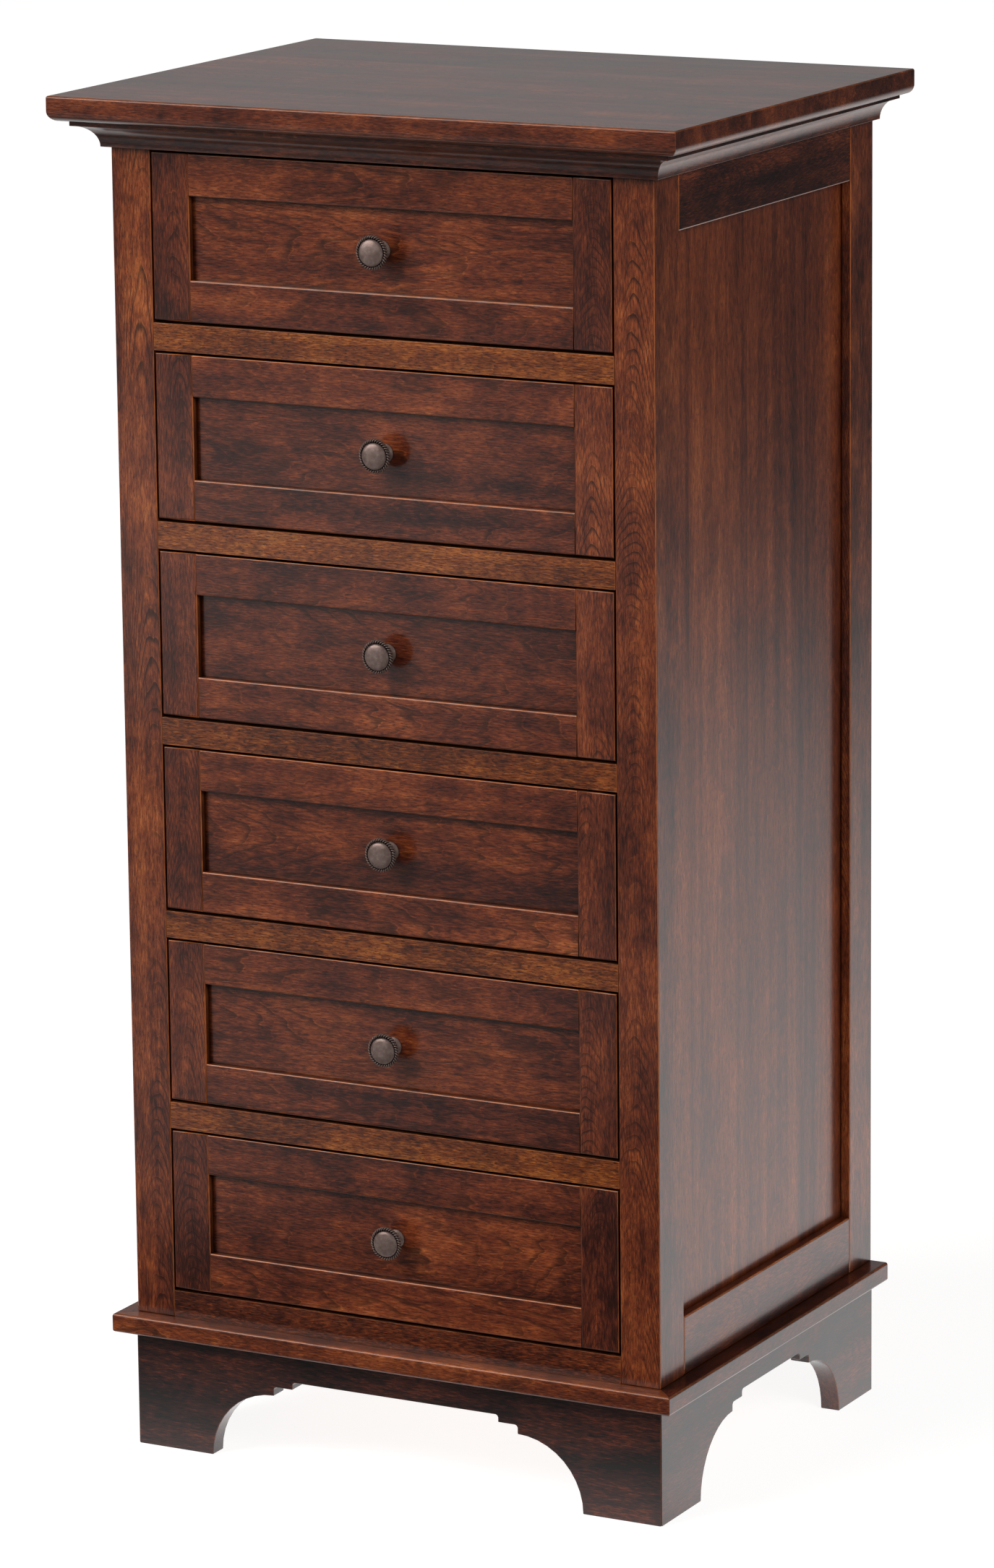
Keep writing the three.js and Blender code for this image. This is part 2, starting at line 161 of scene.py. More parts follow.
class Graph:
    """A material's node tree, with short calls for the nodes used here."""

    def __init__(self, name):
        self.material = bpy.data.materials.new(name)
        self.material.use_nodes = True
        self.tree = self.material.node_tree
        self.tree.nodes.clear()

    def node(self, kind, inputs=None, **settings):
        made = self.tree.nodes.new(kind)
        for key, value in settings.items():
            setattr(made, key, value)
        for key, value in (inputs or {}).items():
            self.feed(made.inputs[key], value)
        return made

    def feed(self, socket, value):
        if isinstance(value, bpy.types.NodeSocket):
            self.tree.links.new(value, socket)
        else:
            socket.default_value = value

    def math(self, operation, a, b=0.0, c=0.0):
        return self.node("ShaderNodeMath", {0: a, 1: b, 2: c}, operation=operation).outputs[0]

    def vector(self, operation, a, b):
        return self.node("ShaderNodeVectorMath", {0: a, 1: b}, operation=operation).outputs["Vector"]

    def combine(self, x, y, z):
        return self.node("ShaderNodeCombineXYZ", {0: x, 1: y, 2: z}).outputs[0]

    def attribute(self, name):
        made = self.node("ShaderNodeAttribute", attribute_name=name, attribute_type="OBJECT")
        return made.outputs["Fac"]

    def noise(self, place, scale, detail=2.0, offset=0.0):
        where = self.vector("MULTIPLY", place, scale)
        if offset:
            where = self.vector("ADD", where, (offset, offset * 0.7, offset * 1.3))
        made = self.node("ShaderNodeTexNoise", {"Vector": where, "Scale": 1.0, "Detail": detail})
        return made.outputs["Fac"]

    def spread(self, value, low, high, to_low=0.0, to_high=1.0):
        """value, from low to high, eased smoothly into to_low to to_high."""
        made = self.node(
            "ShaderNodeMapRange",
            {"Value": value, "From Min": low, "From Max": high, "To Min": to_low, "To Max": to_high},
            interpolation_type="SMOOTHSTEP",
        )
        return made.outputs["Result"]

    def centred(self, value, amount):
        """value, about 0.5, as a swing of amount either side of zero."""
        return self.math("MULTIPLY", self.math("SUBTRACT", value, 0.5), amount)

    def total(self, *terms):
        result = terms[0]
        for term in terms[1:]:
            result = self.math("ADD", result, term)
        return result

    def mix(self, factor, a, b, blend="MIX"):
        made = self.node("ShaderNodeMix", data_type="RGBA", blend_type=blend)
        self.feed(made.inputs[0], factor)
        self.feed(made.inputs[6], a)
        self.feed(made.inputs[7], b)
        return made.outputs[2]

    def ramp(self, factor, stops):
        made = self.node("ShaderNodeValToRGB", {"Fac": factor})
        elements = made.color_ramp.elements
        while len(elements) < len(stops):
            elements.new(1.0)
        for element, (place, colour) in zip(elements, stops):
            element.position = place
            element.color = colour
        return made.outputs["Color"]

    def bump(self, height, strength, distance):
        made = self.node("ShaderNodeBump", {"Height": height, "Strength": strength, "Distance": distance})
        return made.outputs["Normal"]

    def lit_and_shaded_edges(self):
        """Where a board's edge is rounded over, 0 to 1, as two masks: a painted highlight, strongest on its
        upper and right-hand edges, and painted shade on its other edges."""
        normal = self.node("ShaderNodeNewGeometry").outputs["Normal"]
        facing = self.node("ShaderNodeSeparateXYZ", {0: normal}).outputs
        right, up = facing[0], facing[2]
        parts = self.node("ShaderNodeSeparateXYZ", {0: self.vector("ABSOLUTE", normal, (0, 0, 0))}).outputs
        largest = self.math("MAXIMUM", self.math("MAXIMUM", parts[0], parts[1]), parts[2])
        rounded = self.spread(largest, 0.995, 0.82)
        # Painted highlight on rounded edges facing up or to the right, faint on the others.
        lit = self.math("MAXIMUM", self.spread(up, 0.02, 0.30, 0.10, 1.0),
                           self.spread(right, 0.10, 0.50, 0.0, 0.8))
        # Painted shade on rounded edges facing neither up nor to the right, strongest on those facing down.
        shaded = self.math("MULTIPLY", self.spread(up, 0.12, -0.15), self.spread(right, 0.30, 0.05))
        return self.math("MULTIPLY", rounded, lit), self.math("MULTIPLY", rounded, shaded)

    def worn_edges(self, radius):
        """0 on flat faces, up to 1 where the surface turns within the radius."""
        rounded = self.node("ShaderNodeBevel", {"Radius": radius}, samples=4).outputs["Normal"]
        flat = self.node("ShaderNodeNewGeometry").outputs["Normal"]
        match = self.node("ShaderNodeVectorMath", {0: rounded, 1: flat}, operation="DOT_PRODUCT")
        return self.spread(match.outputs["Value"], 0.995, 0.86)

    def recesses(self, distance):
        """1 in tight corners, 0 in the open."""
        made = self.node("ShaderNodeAmbientOcclusion", {"Distance": distance}, samples=4)
        return self.spread(made.outputs["AO"], 0.95, 0.35)

    def surface(self, inputs):
        shader = self.node("ShaderNodeBsdfPrincipled", inputs)
        self.node("ShaderNodeOutputMaterial", {"Surface": shader.outputs[0]})
        return self.material


def rgb(red, green, blue):
    """An sRGB colour of 0 to 255 values as linear RGBA."""
    linear = []
    for value in (red, green, blue):
        share = value / 255
        linear.append(share / 12.92 if share <= 0.04045 else ((share + 0.055) / 1.055) ** 2.4)
    return (*linear, 1.0)


CHERRY_STOPS = (
    (0.00, rgb(18, 8, 7)),
    (0.26, rgb(58, 24, 16)),
    (0.50, rgb(101, 46, 27)),
    (0.74, rgb(142, 71, 37)),
    (1.00, rgb(188, 108, 58)),
)
MAPLE_STOPS = (
    (0.0, rgb(176, 122, 80)),
    (0.5, rgb(214, 166, 120)),
    (1.0, rgb(238, 200, 158)),
)
PLY_STOPS = (
    (0.0, rgb(146, 92, 56)),
    (0.5, rgb(196, 138, 92)),
    (1.0, rgb(226, 176, 130)),
)
STAIN_LINE = rgb(30, 12, 8)
# Colour of the shade painted into tight corners and along the front boards' lower and left-hand rounded
# edges.
PAINTED_SHADE_COLOUR = rgb(22, 9, 6)
# Colour of wood bared by wear along edges, and of the painted highlight on upper and right-hand rounded
# edges.
WORN_AND_HIGHLIGHT_COLOUR = rgb(238, 142, 80)
PALE_LINE = rgb(120, 78, 44)
# Colour of the shade painted into the pale wood's tight corners.
PALE_PAINTED_SHADE_COLOUR = rgb(92, 62, 38)
GOLD_TINT = rgb(246, 255, 205)


def board_place(g, axes, strip):
    """A point's place in its board's own stretch of noise, its (along, across, depth) with across
    measured from the board's middle, and the board's number. Each strip of a glued-up board counts as
    a board."""
    position = g.node("ShaderNodeTexCoord").outputs["Object"]
    parts = g.node("ShaderNodeSeparateXYZ", {0: position}).outputs
    along, across, depth = (parts["XYZ".index(axis)] for axis in axes)
    seed = g.attribute("board")
    centre = g.attribute("board_across")
    if strip:
        index = g.math("FLOOR", g.math("DIVIDE", across, strip))
        seed = g.math("MULTIPLY_ADD", index, 0.731, seed)
        centre = g.math("MULTIPLY", g.math("ADD", index, 0.5), strip)
    place = g.vector("ADD", g.combine(along, across, depth),
                     g.combine(g.math("MULTIPLY", seed, 1.31), g.math("MULTIPLY", seed, 0.77), seed))
    return place, (along, g.math("SUBTRACT", across, centre), depth), seed


def growth_ring(g, place, spot, luck, ring_gap, arch, rise, sway):
    """How far through its growth ring a point is, 0 to 1. place feeds the noise, spot the arch."""
    along, across, depth = spot
    heart = g.total(g.centred(luck[0], 0.016), g.centred(g.noise(place, (1.6, 0.0, 0.0), 1.5), 0.030))
    a = g.math("SUBTRACT", across, heart)
    climb = g.noise(place, (1.3, 0.0, 0.0), 1.0, offset=5.3)
    swell = g.noise(place, (3.6, 15.0, 15.0), 3.0, offset=2.1)
    shiver = g.noise(place, (30.0, 90.0, 90.0), 2.0, offset=6.6)
    reach = g.total(g.math("MULTIPLY", g.math("MULTIPLY", a, a), arch),
                    g.math("MULTIPLY", along, g.math("MULTIPLY_ADD", luck[2], rise * 0.6, rise * 0.7)),
                    g.centred(climb, rise * 0.5), depth, g.centred(swell, ring_gap * sway),
                    g.centred(shiver, ring_gap * 0.9))
    return g.math("FRACT", g.math("DIVIDE", reach, ring_gap))


def stain_wear_and_painted_light(g, colour, place, edge):
    """Stain tinted by the board's gold and lightened by wear along its edges, with a painted highlight
    on its upper and right-hand rounded edges, and painted shade in its tight corners and, on front
    boards, along its other rounded edges.
    """
    colour = g.mix(g.attribute("gold"), colour, g.mix(1.0, colour, GOLD_TINT, "MULTIPLY"))
    scuff = g.noise(place, (60.0, 60.0, 60.0), 2.0, offset=7.7)
    # The bare-wood colour, from wear along every edge and as a painted highlight on upper and right-hand
    # rounded edges.
    lit_edge, shaded_edge = g.lit_and_shaded_edges()
    wear_and_highlight = g.math("MULTIPLY", g.math("MAXIMUM", g.math("MULTIPLY", edge, 0.35), lit_edge),
                  g.spread(scuff, 0.32, 0.66, 0.45, 0.95))
    wear_and_highlight = g.math("MULTIPLY", wear_and_highlight, g.attribute("wear_and_highlight"))
    colour = g.mix(wear_and_highlight, colour, WORN_AND_HIGHLIGHT_COLOUR)
    # Painted shade along the front boards' lower and left-hand rounded edges.
    corner = g.attribute("corner")
    painted_shade_edge = g.math("MULTIPLY", shaded_edge, g.spread(corner, 0.50, 0.56, 0.0, 0.8))
    colour = g.mix(painted_shade_edge, colour, PAINTED_SHADE_COLOUR)
    # Painted shade in tight corners.
    return g.mix(g.math("MULTIPLY", g.recesses(0.007), corner), colour, PAINTED_SHADE_COLOUR)


def wood(name, axes, stops, strip=0.0, ring_gap=0.0013, arch=9.0, rise=0.10, sway=5.0, line=0.70, mottle=0.72,
         streak=0.75, fine=0.95, fleck_share=0.62, coat=0.9, roughness=0.36, stained=True):
    """Wood whose grain runs along axes[0]. Growth rings arch across each board's face: arch is how far
    they bend over its width, rise is how fast they climb along its length, and sway how far they wander."""
    g = Graph(name)
    place, spot, seed = board_place(g, axes, strip)
    luck = g.node("ShaderNodeTexWhiteNoise", {"W": seed}, noise_dimensions="1D").outputs["Color"]
    luck = g.node("ShaderNodeSeparateColor", {0: luck}).outputs
    ring = growth_ring(g, place, spot, luck, ring_gap, arch, rise, sway)
    late = g.math("MULTIPLY", g.spread(ring, 0.55, 0.90), g.spread(ring, 1.0, 0.92))
    fade = g.spread(g.noise(place, (7.0, 26.0, 26.0), 2.0, offset=8.8), 0.36, 0.62)

    blotch = g.noise(place, (11.0, 17.0, 17.0), 3.5, offset=1.7)
    cloud = g.noise(place, (34.0, 46.0, 46.0), 2.5, offset=4.4)
    band = g.noise(place, (0.9, 21.0, 21.0), 2.0, offset=7.3)
    streaks = g.noise(place, (3.5, 95.0, 95.0), 3.5, offset=3.1)
    dashes = g.noise(place, (38.0, 230.0, 230.0), 2.5, offset=11.3)
    fibre = g.noise(place, (120.0, 820.0, 820.0), 3.0, offset=6.2)
    fleck = g.spread(g.noise(place, (240.0, 1250.0, 1250.0), 2.0, offset=9.9), 0.54, 0.68)

    tone = g.total(0.5, g.attribute("tone"), g.centred(luck[1], 0.10), g.centred(blotch, mottle),
                   g.centred(cloud, mottle * 0.6), g.centred(band, streak * 0.9),
                   g.centred(streaks, streak * 0.6), g.centred(dashes, mottle * 0.45),
                   g.centred(fibre, fine), g.centred(ring, 0.14))
    colour = g.ramp(tone, stops)
    line_share = g.math("MULTIPLY", late, g.math("MULTIPLY_ADD", fade, 0.75, 0.25))
    line_share = g.math("MULTIPLY", line_share, line)
    dark_line = STAIN_LINE if stained else PALE_LINE
    colour = g.mix(line_share, colour, dark_line)
    colour = g.mix(g.math("MULTIPLY", fleck, fleck_share), colour, dark_line)
    edge = g.worn_edges(0.0016)
    if stained:
        colour = stain_wear_and_painted_light(g, colour, place, edge)
    else:
        # Painted shade in the pale wood's tight corners.
        colour = g.mix(g.math("MULTIPLY", g.recesses(0.014), 0.55), colour, PALE_PAINTED_SHADE_COLOUR)
    height = g.total(g.centred(fibre, 0.7), g.math("MULTIPLY", fleck, -0.5))
    rough = g.total(roughness, g.centred(blotch, 0.12), g.centred(fibre, 0.10),
                    g.math("MULTIPLY", edge, 0.06))
    return g.surface({
        "Base Color": colour,
        "Roughness": rough,
        "Specular IOR Level": 0.25,
        "Coat Weight": coat,
        "Coat Roughness": 0.18,
        "Normal": g.bump(height, 0.20, 0.00020),
        "Coat Normal": g.bump(height, 0.05, 0.00015),
    })


def pewter():
    g = Graph("antique_pewter")
    position = g.node("ShaderNodeTexCoord").outputs["Object"]
    brushed = g.noise(position, (900.0, 900.0, 5200.0), 2.0)
    tarnish = g.noise(position, (260.0, 260.0, 260.0), 4.0, offset=3.0)
    tone = g.total(0.5, g.centred(tarnish, 0.8), g.centred(brushed, 0.5))
    colour = g.ramp(tone, (
        (0.0, rgb(98, 78, 72)), (0.5, rgb(142, 121, 115)), (1.0, rgb(186, 170, 164)),
    ))
    hollow = g.recesses(0.0022)
    colour = g.mix(g.math("MULTIPLY", hollow, 0.95), colour, rgb(20, 14, 12))
    colour = g.mix(g.math("MULTIPLY", g.worn_edges(0.0005), 0.35), colour, rgb(196, 186, 178))
    rough = g.total(0.36, g.centred(tarnish, 0.25), g.math("MULTIPLY", hollow, 0.3))
    return g.surface({
        "Base Color": colour,
        "Metallic": 0.60,
        "Roughness": rough,
        "Normal": g.bump(g.total(brushed, tarnish), 0.15, 0.0001),
    })


def steel():
    g = Graph("zinc_screw")
    position = g.node("ShaderNodeTexCoord").outputs["Object"]
    grit = g.noise(position, (700.0, 700.0, 700.0), 3.0)
    colour = g.ramp(grit, ((0.0, rgb(120, 118, 112)), (1.0, rgb(190, 186, 176))))
    colour = g.mix(g.math("MULTIPLY", g.recesses(0.002), 0.9), colour, rgb(40, 34, 28))
    return g.surface({
        "Base Color": colour,
        "Metallic": 0.9,
        "Roughness": g.spread(grit, 0.3, 0.7, 0.32, 0.5),
        "Normal": g.bump(grit, 0.2, 0.0001),
    })


def felt():
    g = Graph("felt_lining")
    position = g.node("ShaderNodeTexCoord").outputs["Object"]
    nap = g.noise(position, (900.0, 900.0, 900.0), 4.0)
    fibres = g.noise(position, (300.0, 1900.0, 900.0), 3.0, offset=2.0)
    patch = g.noise(position, (14.0, 14.0, 14.0), 3.0, offset=5.0)
    tone = g.total(0.5, g.centred(nap, 0.8), g.centred(fibres, 0.5), g.centred(patch, 0.5))
    colour = g.ramp(tone, ((0.0, rgb(58, 10, 16)), (0.5, rgb(104, 24, 32)), (1.0, rgb(146, 48, 54))))
    return g.surface({
        "Base Color": colour,
        "Roughness": 0.95,
        "Sheen Weight": 0.12,
        "Sheen Roughness": 0.5,
        "Specular IOR Level": 0.2,
        "Normal": g.bump(g.total(nap, fibres), 0.6, 0.0004),
    })


CHERRY_X = wood("cherry_along_x", "XZY", CHERRY_STOPS, ring_gap=0.0018, arch=3.0, rise=0.030, sway=9.0)
CHERRY_RAIL = wood("cherry_rail", "XZY", CHERRY_STOPS, arch=2.0, rise=0.02, line=0.30, mottle=0.60, fine=1.3,
                   fleck_share=0.85)
CHERRY_Y = wood("cherry_along_y", "YZX", CHERRY_STOPS)
CHERRY_Z = wood("cherry_upright", "ZXY", CHERRY_STOPS, arch=13.0, sway=7.0, line=0.85)
CHERRY_PANEL = wood("cherry_side_panel", "ZYX", CHERRY_STOPS, strip=0.118, ring_gap=0.0022, arch=2.2,
                    rise=0.03, line=0.40, mottle=0.32, streak=0.90, fine=0.8)
CHERRY_TOP = wood("cherry_top", "XYZ", CHERRY_STOPS, strip=0.098, arch=3.0)
PALE = {"line": 0.35, "mottle": 0.35, "streak": 0.4, "fine": 0.5, "fleck_share": 0.25, "coat": 0.25,
        "roughness": 0.5, "stained": False}
PLY = {**PALE, "ring_gap": 0.0030, "arch": 1.2, "rise": 0.03, "line": 0.45, "coat": 0.1, "roughness": 0.6}
MAPLE_X = wood("maple_along_x", "XZY", MAPLE_STOPS, **PALE)
MAPLE_Y = wood("maple_along_y", "YZX", MAPLE_STOPS, **PALE)
PLY_Z = wood("plywood_upright", "ZXY", PLY_STOPS, **PLY)
PLY_X = wood("plywood_flat", "XYZ", PLY_STOPS, **PLY)
PEWTER = pewter()
STEEL = steel()
FELT = felt()


def dress(piece, material, seed, across_axis, depth_axis, tone=0.0, gold=0.0, wear_and_highlight=1.0,
          corner=SIDE_PAINTED_SHADE):
    """Gives a board its wood, its own grain, its tone, how strongly its edges show wear and a painted
    highlight, and how much shade is painted into its corners and rounded edges.
    """
    piece.data.materials.clear()
    piece.data.materials.append(material)
    corners = [piece.matrix_world @ Vector(c) for c in piece.bound_box]
    for key, axis in (("board_across", across_axis), ("board_depth", depth_axis)):
        i = "XYZ".index(axis)
        piece[key] = (min(c[i] for c in corners) + max(c[i] for c in corners)) / 2
    piece["board"] = seed
    piece["tone"] = tone
    piece["gold"] = gold
    piece["wear_and_highlight"] = wear_and_highlight
    piece["corner"] = corner


def soften(piece, width):
    """Welds a carried-over solid, rounds its sharp edges and evens its shading."""
    for polygon in piece.data.polygons:
        polygon.use_smooth = True
    weld = piece.modifiers.new("weld", "WELD")
    weld.merge_threshold = 1e-6
    flat = piece.modifiers.new("flat", "DECIMATE")
    flat.decimate_type = "DISSOLVE"
    flat.angle_limit = DISSOLVE_ANGLE
    bevel = piece.modifiers.new("ease", "BEVEL")
    bevel.width = width
    bevel.segments = EASE_SEGMENTS
    bevel.limit_method = "ANGLE"
    bevel.angle_limit = BEVEL_ANGLE
    even = piece.modifiers.new("even", "WEIGHTED_NORMAL")
    even.weight = 100


def piece_from(mesh, name, body, *replaced):
    """A finished bmesh as a named piece on a CAD body."""
    data = bpy.data.meshes.new(name)
    mesh.to_mesh(data)
    mesh.free()
    for polygon in data.polygons:
        polygon.use_smooth = True
    made = bpy.data.objects.new(name, data)
    bpy.context.scene.collection.objects.link(made)
    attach(made, body)
    if replaced:
        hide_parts(*replaced)
    return made


def even_shading(piece):
    piece.modifiers.new("even", "WEIGHTED_NORMAL").weight = 100


def add_prism(mesh, outline, place, material=0):
    """A closed prism: outline points at two ends, where place(u, v, end) gives each vertex."""
    rings = [[mesh.verts.new(place(u, v, end)) for u, v in outline] for end in (0, 1)]
    faces = [mesh.faces.new(rings[0]), mesh.faces.new(rings[1][::-1])]
    count = len(outline)
    for i in range(count):
        j = (i + 1) % count
        faces.append(mesh.faces.new((rings[0][j], rings[0][i], rings[1][i], rings[1][j])))
    for face in faces:
        face.material_index = material


def mark_edges(mesh, weights):
    """Bevel weights for edges: weights is a list of (test on an edge's two ends, weight)."""
    layer = mesh.edges.layers.float.new("bevel_weight_edge")
    for edge in mesh.edges:
        first, last = (vert.co for vert in edge.verts)
        for test, weight in weights:
            if test(first, last):
                edge[layer] = weight
                break


def weighted_bevel(piece):
    bevel = piece.modifiers.new("ease", "BEVEL")
    bevel.width = FRONT_LOWER_EASE
    bevel.segments = FRONT_EASE_SEGMENTS
    bevel.limit_method = "WEIGHT"
    even_shading(piece)


def both(first, last, axis, value):
    return abs(first[axis] - value) < 1e-6 and abs(last[axis] - value) < 1e-6


def front_member(number, label, outline, along, ends, weights):
    """One stile or rail of a drawer front, its section drawn across its length."""
    mesh = bmesh.new()

    def place(u, y, end):
        return (u, y, ends[end]) if along == "Z" else (ends[end], y, u)

    add_prism(mesh, outline, place)
    bmesh.ops.recalc_face_normals(mesh, faces=mesh.faces)
    mark_edges(mesh, weights)
    name = f"drawer_{number}_{label}"
    made = piece_from(mesh, name, f"drawer_{number}")
    weighted_bevel(made)
    return made


def member_outline(outer, inner, front, back):
    """A member's section: a rectangle from outer to inner, rebated at the back for the panel."""
    step = REBATE if outer < inner else -REBATE
    panel_face = front + PANEL_RECESS
    return [(outer, front), (inner, front), (inner, panel_face), (inner - step, panel_face),
            (inner - step, back), (outer, back)]


def drawer_front(number, drawer_tone):
    low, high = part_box(f"drawer_{number}_front_frame")
    front, back = low.y, high.y
    inner_share = FRONT_INNER_EASE / FRONT_LOWER_EASE
    outer_share = FRONT_OUTER_EASE / FRONT_LOWER_EASE
    faint_share = BOX_EASE / FRONT_LOWER_EASE
    for label, outer, inner in (
        ("stile_left", low.x, low.x + MEMBER),
        ("stile_right", high.x, high.x - MEMBER),
    ):
        weights = [
            (lambda p, q: both(p, q, 1, front) and both(p, q, 0, inner), inner_share),
            (lambda p, q: both(p, q, 1, front) and both(p, q, 2, low.z), 1.0),
            (lambda p, q: both(p, q, 1, front), outer_share),
            (lambda p, q: both(p, q, 0, outer), faint_share),
        ]
        stile = front_member(number, label, member_outline(outer, inner, front, back), "Z",
                             (low.z, high.z), weights)
        dress(stile, CHERRY_Z, number * 0.417 + (0.19 if outer < 0 else 0.71), "X", "Y",
              drawer_tone - 0.03, wear_and_highlight=FRONT_WEAR_AND_HIGHLIGHT, corner=FRONT_PAINTED_SHADE)
    for label, outer, inner, share in (
        ("rail_bottom", low.z, low.z + MEMBER, 1.0),
        ("rail_top", high.z, high.z - MEMBER, outer_share),
    ):
        weights = [
            (lambda p, q: both(p, q, 1, front) and both(p, q, 2, inner), inner_share),
            (lambda p, q: both(p, q, 1, front) and both(p, q, 2, outer), share),
            (lambda p, q: both(p, q, 1, front), RAIL_END_SHARE),
        ]
        rail = front_member(number, label, member_outline(outer, inner, front, back), "X",
                            (low.x + MEMBER, high.x - MEMBER), weights)
        dress(rail, CHERRY_X, number * 0.517 + (0.33 if label == "rail_top" else 0.87), "Z", "Y",
              drawer_tone, wear_and_highlight=FRONT_WEAR_AND_HIGHLIGHT, corner=FRONT_PAINTED_SHADE)
    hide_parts(f"drawer_{number}_front_frame")


def revolve(mesh, profile, segments, place):
    """A turned solid: profile of (radius, out), its first and last points on the axis."""
    rings = []
    for radius, out in profile[1:-1]:
        ring = []
        for i in range(segments):
            angle = 2 * math.pi * i / segments
            ring.append(mesh.verts.new(place(radius * math.cos(angle), radius * math.sin(angle), out)))
        rings.append(ring)
    first = mesh.verts.new(place(0, 0, profile[0][1]))
    last = mesh.verts.new(place(0, 0, profile[-1][1]))
    for i in range(segments):
        j = (i + 1) % segments
        mesh.faces.new((first, rings[0][j], rings[0][i]))
        mesh.faces.new((last, rings[-1][i], rings[-1][j]))
        for inner, outer in zip(rings, rings[1:]):
            mesh.faces.new((inner[i], inner[j], outer[j], outer[i]))


def add_rope(mesh, place):
    """Twisted strands round the knob's rim."""
    for strand in range(ROPE_STRANDS):
        rings = []
        for i in range(ROPE_STEPS):
            around = 2 * math.pi * i / ROPE_STEPS
            twist = around * ROPE_TURNS + 2 * math.pi * strand / ROPE_STRANDS
            radius = ROPE_RADIUS + STRAND_OFFSET * math.cos(twist)
            out = ROPE_OUT + STRAND_OFFSET * math.sin(twist)
            ring = []
            for k in range(ROPE_SIDES):
                turn = 2 * math.pi * k / ROPE_SIDES
                r = radius + STRAND_RADIUS * math.cos(turn)
                ring.append(mesh.verts.new(place(r * math.cos(around), r * math.sin(around),
                                                 out + STRAND_RADIUS * math.sin(turn))))
            rings.append(ring)
        for i in range(ROPE_STEPS):
            here, there = rings[i], rings[(i + 1) % ROPE_STEPS]
            for k in range(ROPE_SIDES):
                m = (k + 1) % ROPE_SIDES
                mesh.faces.new((here[k], here[m], there[m], there[k]))


def knob(number):
    low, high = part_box(f"drawer_{number}_knob")
    centre_x, centre_z, base = (low.x + high.x) / 2, (low.z + high.z) / 2, high.y
    mesh = bmesh.new()

    def place(x, z, out):
        return (centre_x + x, base - out, centre_z + z)

    revolve(mesh, KNOB_PROFILE, KNOB_SEGMENTS, place)
    add_rope(mesh, place)
    bmesh.ops.recalc_face_normals(mesh, faces=mesh.faces)
    made = piece_from(mesh, f"drawer_{number}_rope_knob", f"drawer_{number}", f"drawer_{number}_knob")
    made.data.materials.append(PEWTER)


def knob_screw(number):
    """The machine screw's pan head inside the drawer box, with its washer."""
    low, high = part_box(f"drawer_{number}_knob")
    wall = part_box(f"drawer_{number}_box")[0].y + WALL
    centre_x, centre_z = (low.x + high.x) / 2, (low.z + high.z) / 2
    mesh = bmesh.new()

    def place(x, z, out):
        return (centre_x + x, wall + out, centre_z + z)

    revolve(mesh, KNOB_SCREW_PROFILE, KNOB_SCREW_SEGMENTS, place)
    bmesh.ops.recalc_face_normals(mesh, faces=mesh.faces)
    made = piece_from(mesh, f"drawer_{number}_knob_screw", f"drawer_{number}")
    made.data.materials.append(STEEL)
    even_shading(made)


def dovetail_levels(low_z, high_z):
    """Heights of the dovetail joints' cuts: (bottom, top) of each tail at the joint's baseline."""
    pitch = (high_z - low_z) / TAILS
    pin = pitch * PIN_SHARE
    return [(low_z + i * pitch + pin / 2, low_z + (i + 1) * pitch - pin / 2) for i in range(TAILS)]


def prism_along_x(mesh, outline, low_x, high_x, material):
    """A prism whose outline is in (y, z)."""
    add_prism(mesh, outline, lambda y, z, end: (high_x if end else low_x, y, z), material)


def prism_along_y(mesh, outline, low_y, high_y, material):
    """A prism whose outline is in (x, z)."""
    add_prism(mesh, outline, lambda x, z, end: (x, high_y if end else low_y, z), material)


def drawer_box(number):
    """Four walls, the sides cut with tails and the front and back with the pins between them."""
    low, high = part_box(f"drawer_{number}_box")
    tails = dovetail_levels(low.z, high.z)
    mesh = bmesh.new()
    sides = ((low.x, low.x + WALL), (high.x - WALL, high.x))
    for side_low, side_high in sides:
        front_edge, back_edge = [], []
        for bottom, top in tails:
            front_edge += [(low.y + WALL, bottom), (low.y, bottom - TAIL_SLOPE), (low.y, top + TAIL_SLOPE),
                           (low.y + WALL, top)]
            back_edge += [(high.y - WALL, bottom), (high.y, bottom - TAIL_SLOPE), (high.y, top + TAIL_SLOPE),
                          (high.y - WALL, top)]
        outline = [(low.y + WALL, low.z), *front_edge, (low.y + WALL, high.z), (high.y - WALL, high.z),
                   *back_edge[::-1], (high.y - WALL, low.z)]
        prism_along_x(mesh, outline, side_low, side_high, SIDE_WALL)
    for outer, inner in ((low.y, low.y + WALL), (high.y, high.y - WALL)):
        middle = ((low.x + WALL, low.z), (high.x - WALL, low.z),
                  (high.x - WALL, high.z), (low.x + WALL, high.z))
        prism_along_y(mesh, middle, min(outer, inner), max(outer, inner), END_WALL)
        cuts = [(low.z, None), *tails, (None, high.z)]
        for before, after in zip(cuts, cuts[1:]):
            bottom_in = low.z if before[1] is None else before[1]
            top_in = high.z if after[0] is None else after[0]
            bottom_out = low.z if before[1] is None else before[1] + TAIL_SLOPE
            top_out = high.z if after[0] is None else after[0] - TAIL_SLOPE
            pin = ((inner, bottom_in), (inner, top_in), (outer, top_out), (outer, bottom_out))
            for side_low, side_high in sides:
                prism_along_x(mesh, pin, side_low, side_high, END_WALL)
    bmesh.ops.recalc_face_normals(mesh, faces=mesh.faces)
    made = piece_from(mesh, f"drawer_{number}_dovetailed_box", f"drawer_{number}", f"drawer_{number}_box")
    dress(made, MAPLE_Y, number * 0.613, "Z", "X")
    made.data.materials.append(MAPLE_X)
    bevel = made.modifiers.new("ease", "BEVEL")
    bevel.width = DOVETAIL_EASE
    bevel.segments = EASE_SEGMENTS
    bevel.angle_limit = BEVEL_ANGLE
    even_shading(made)


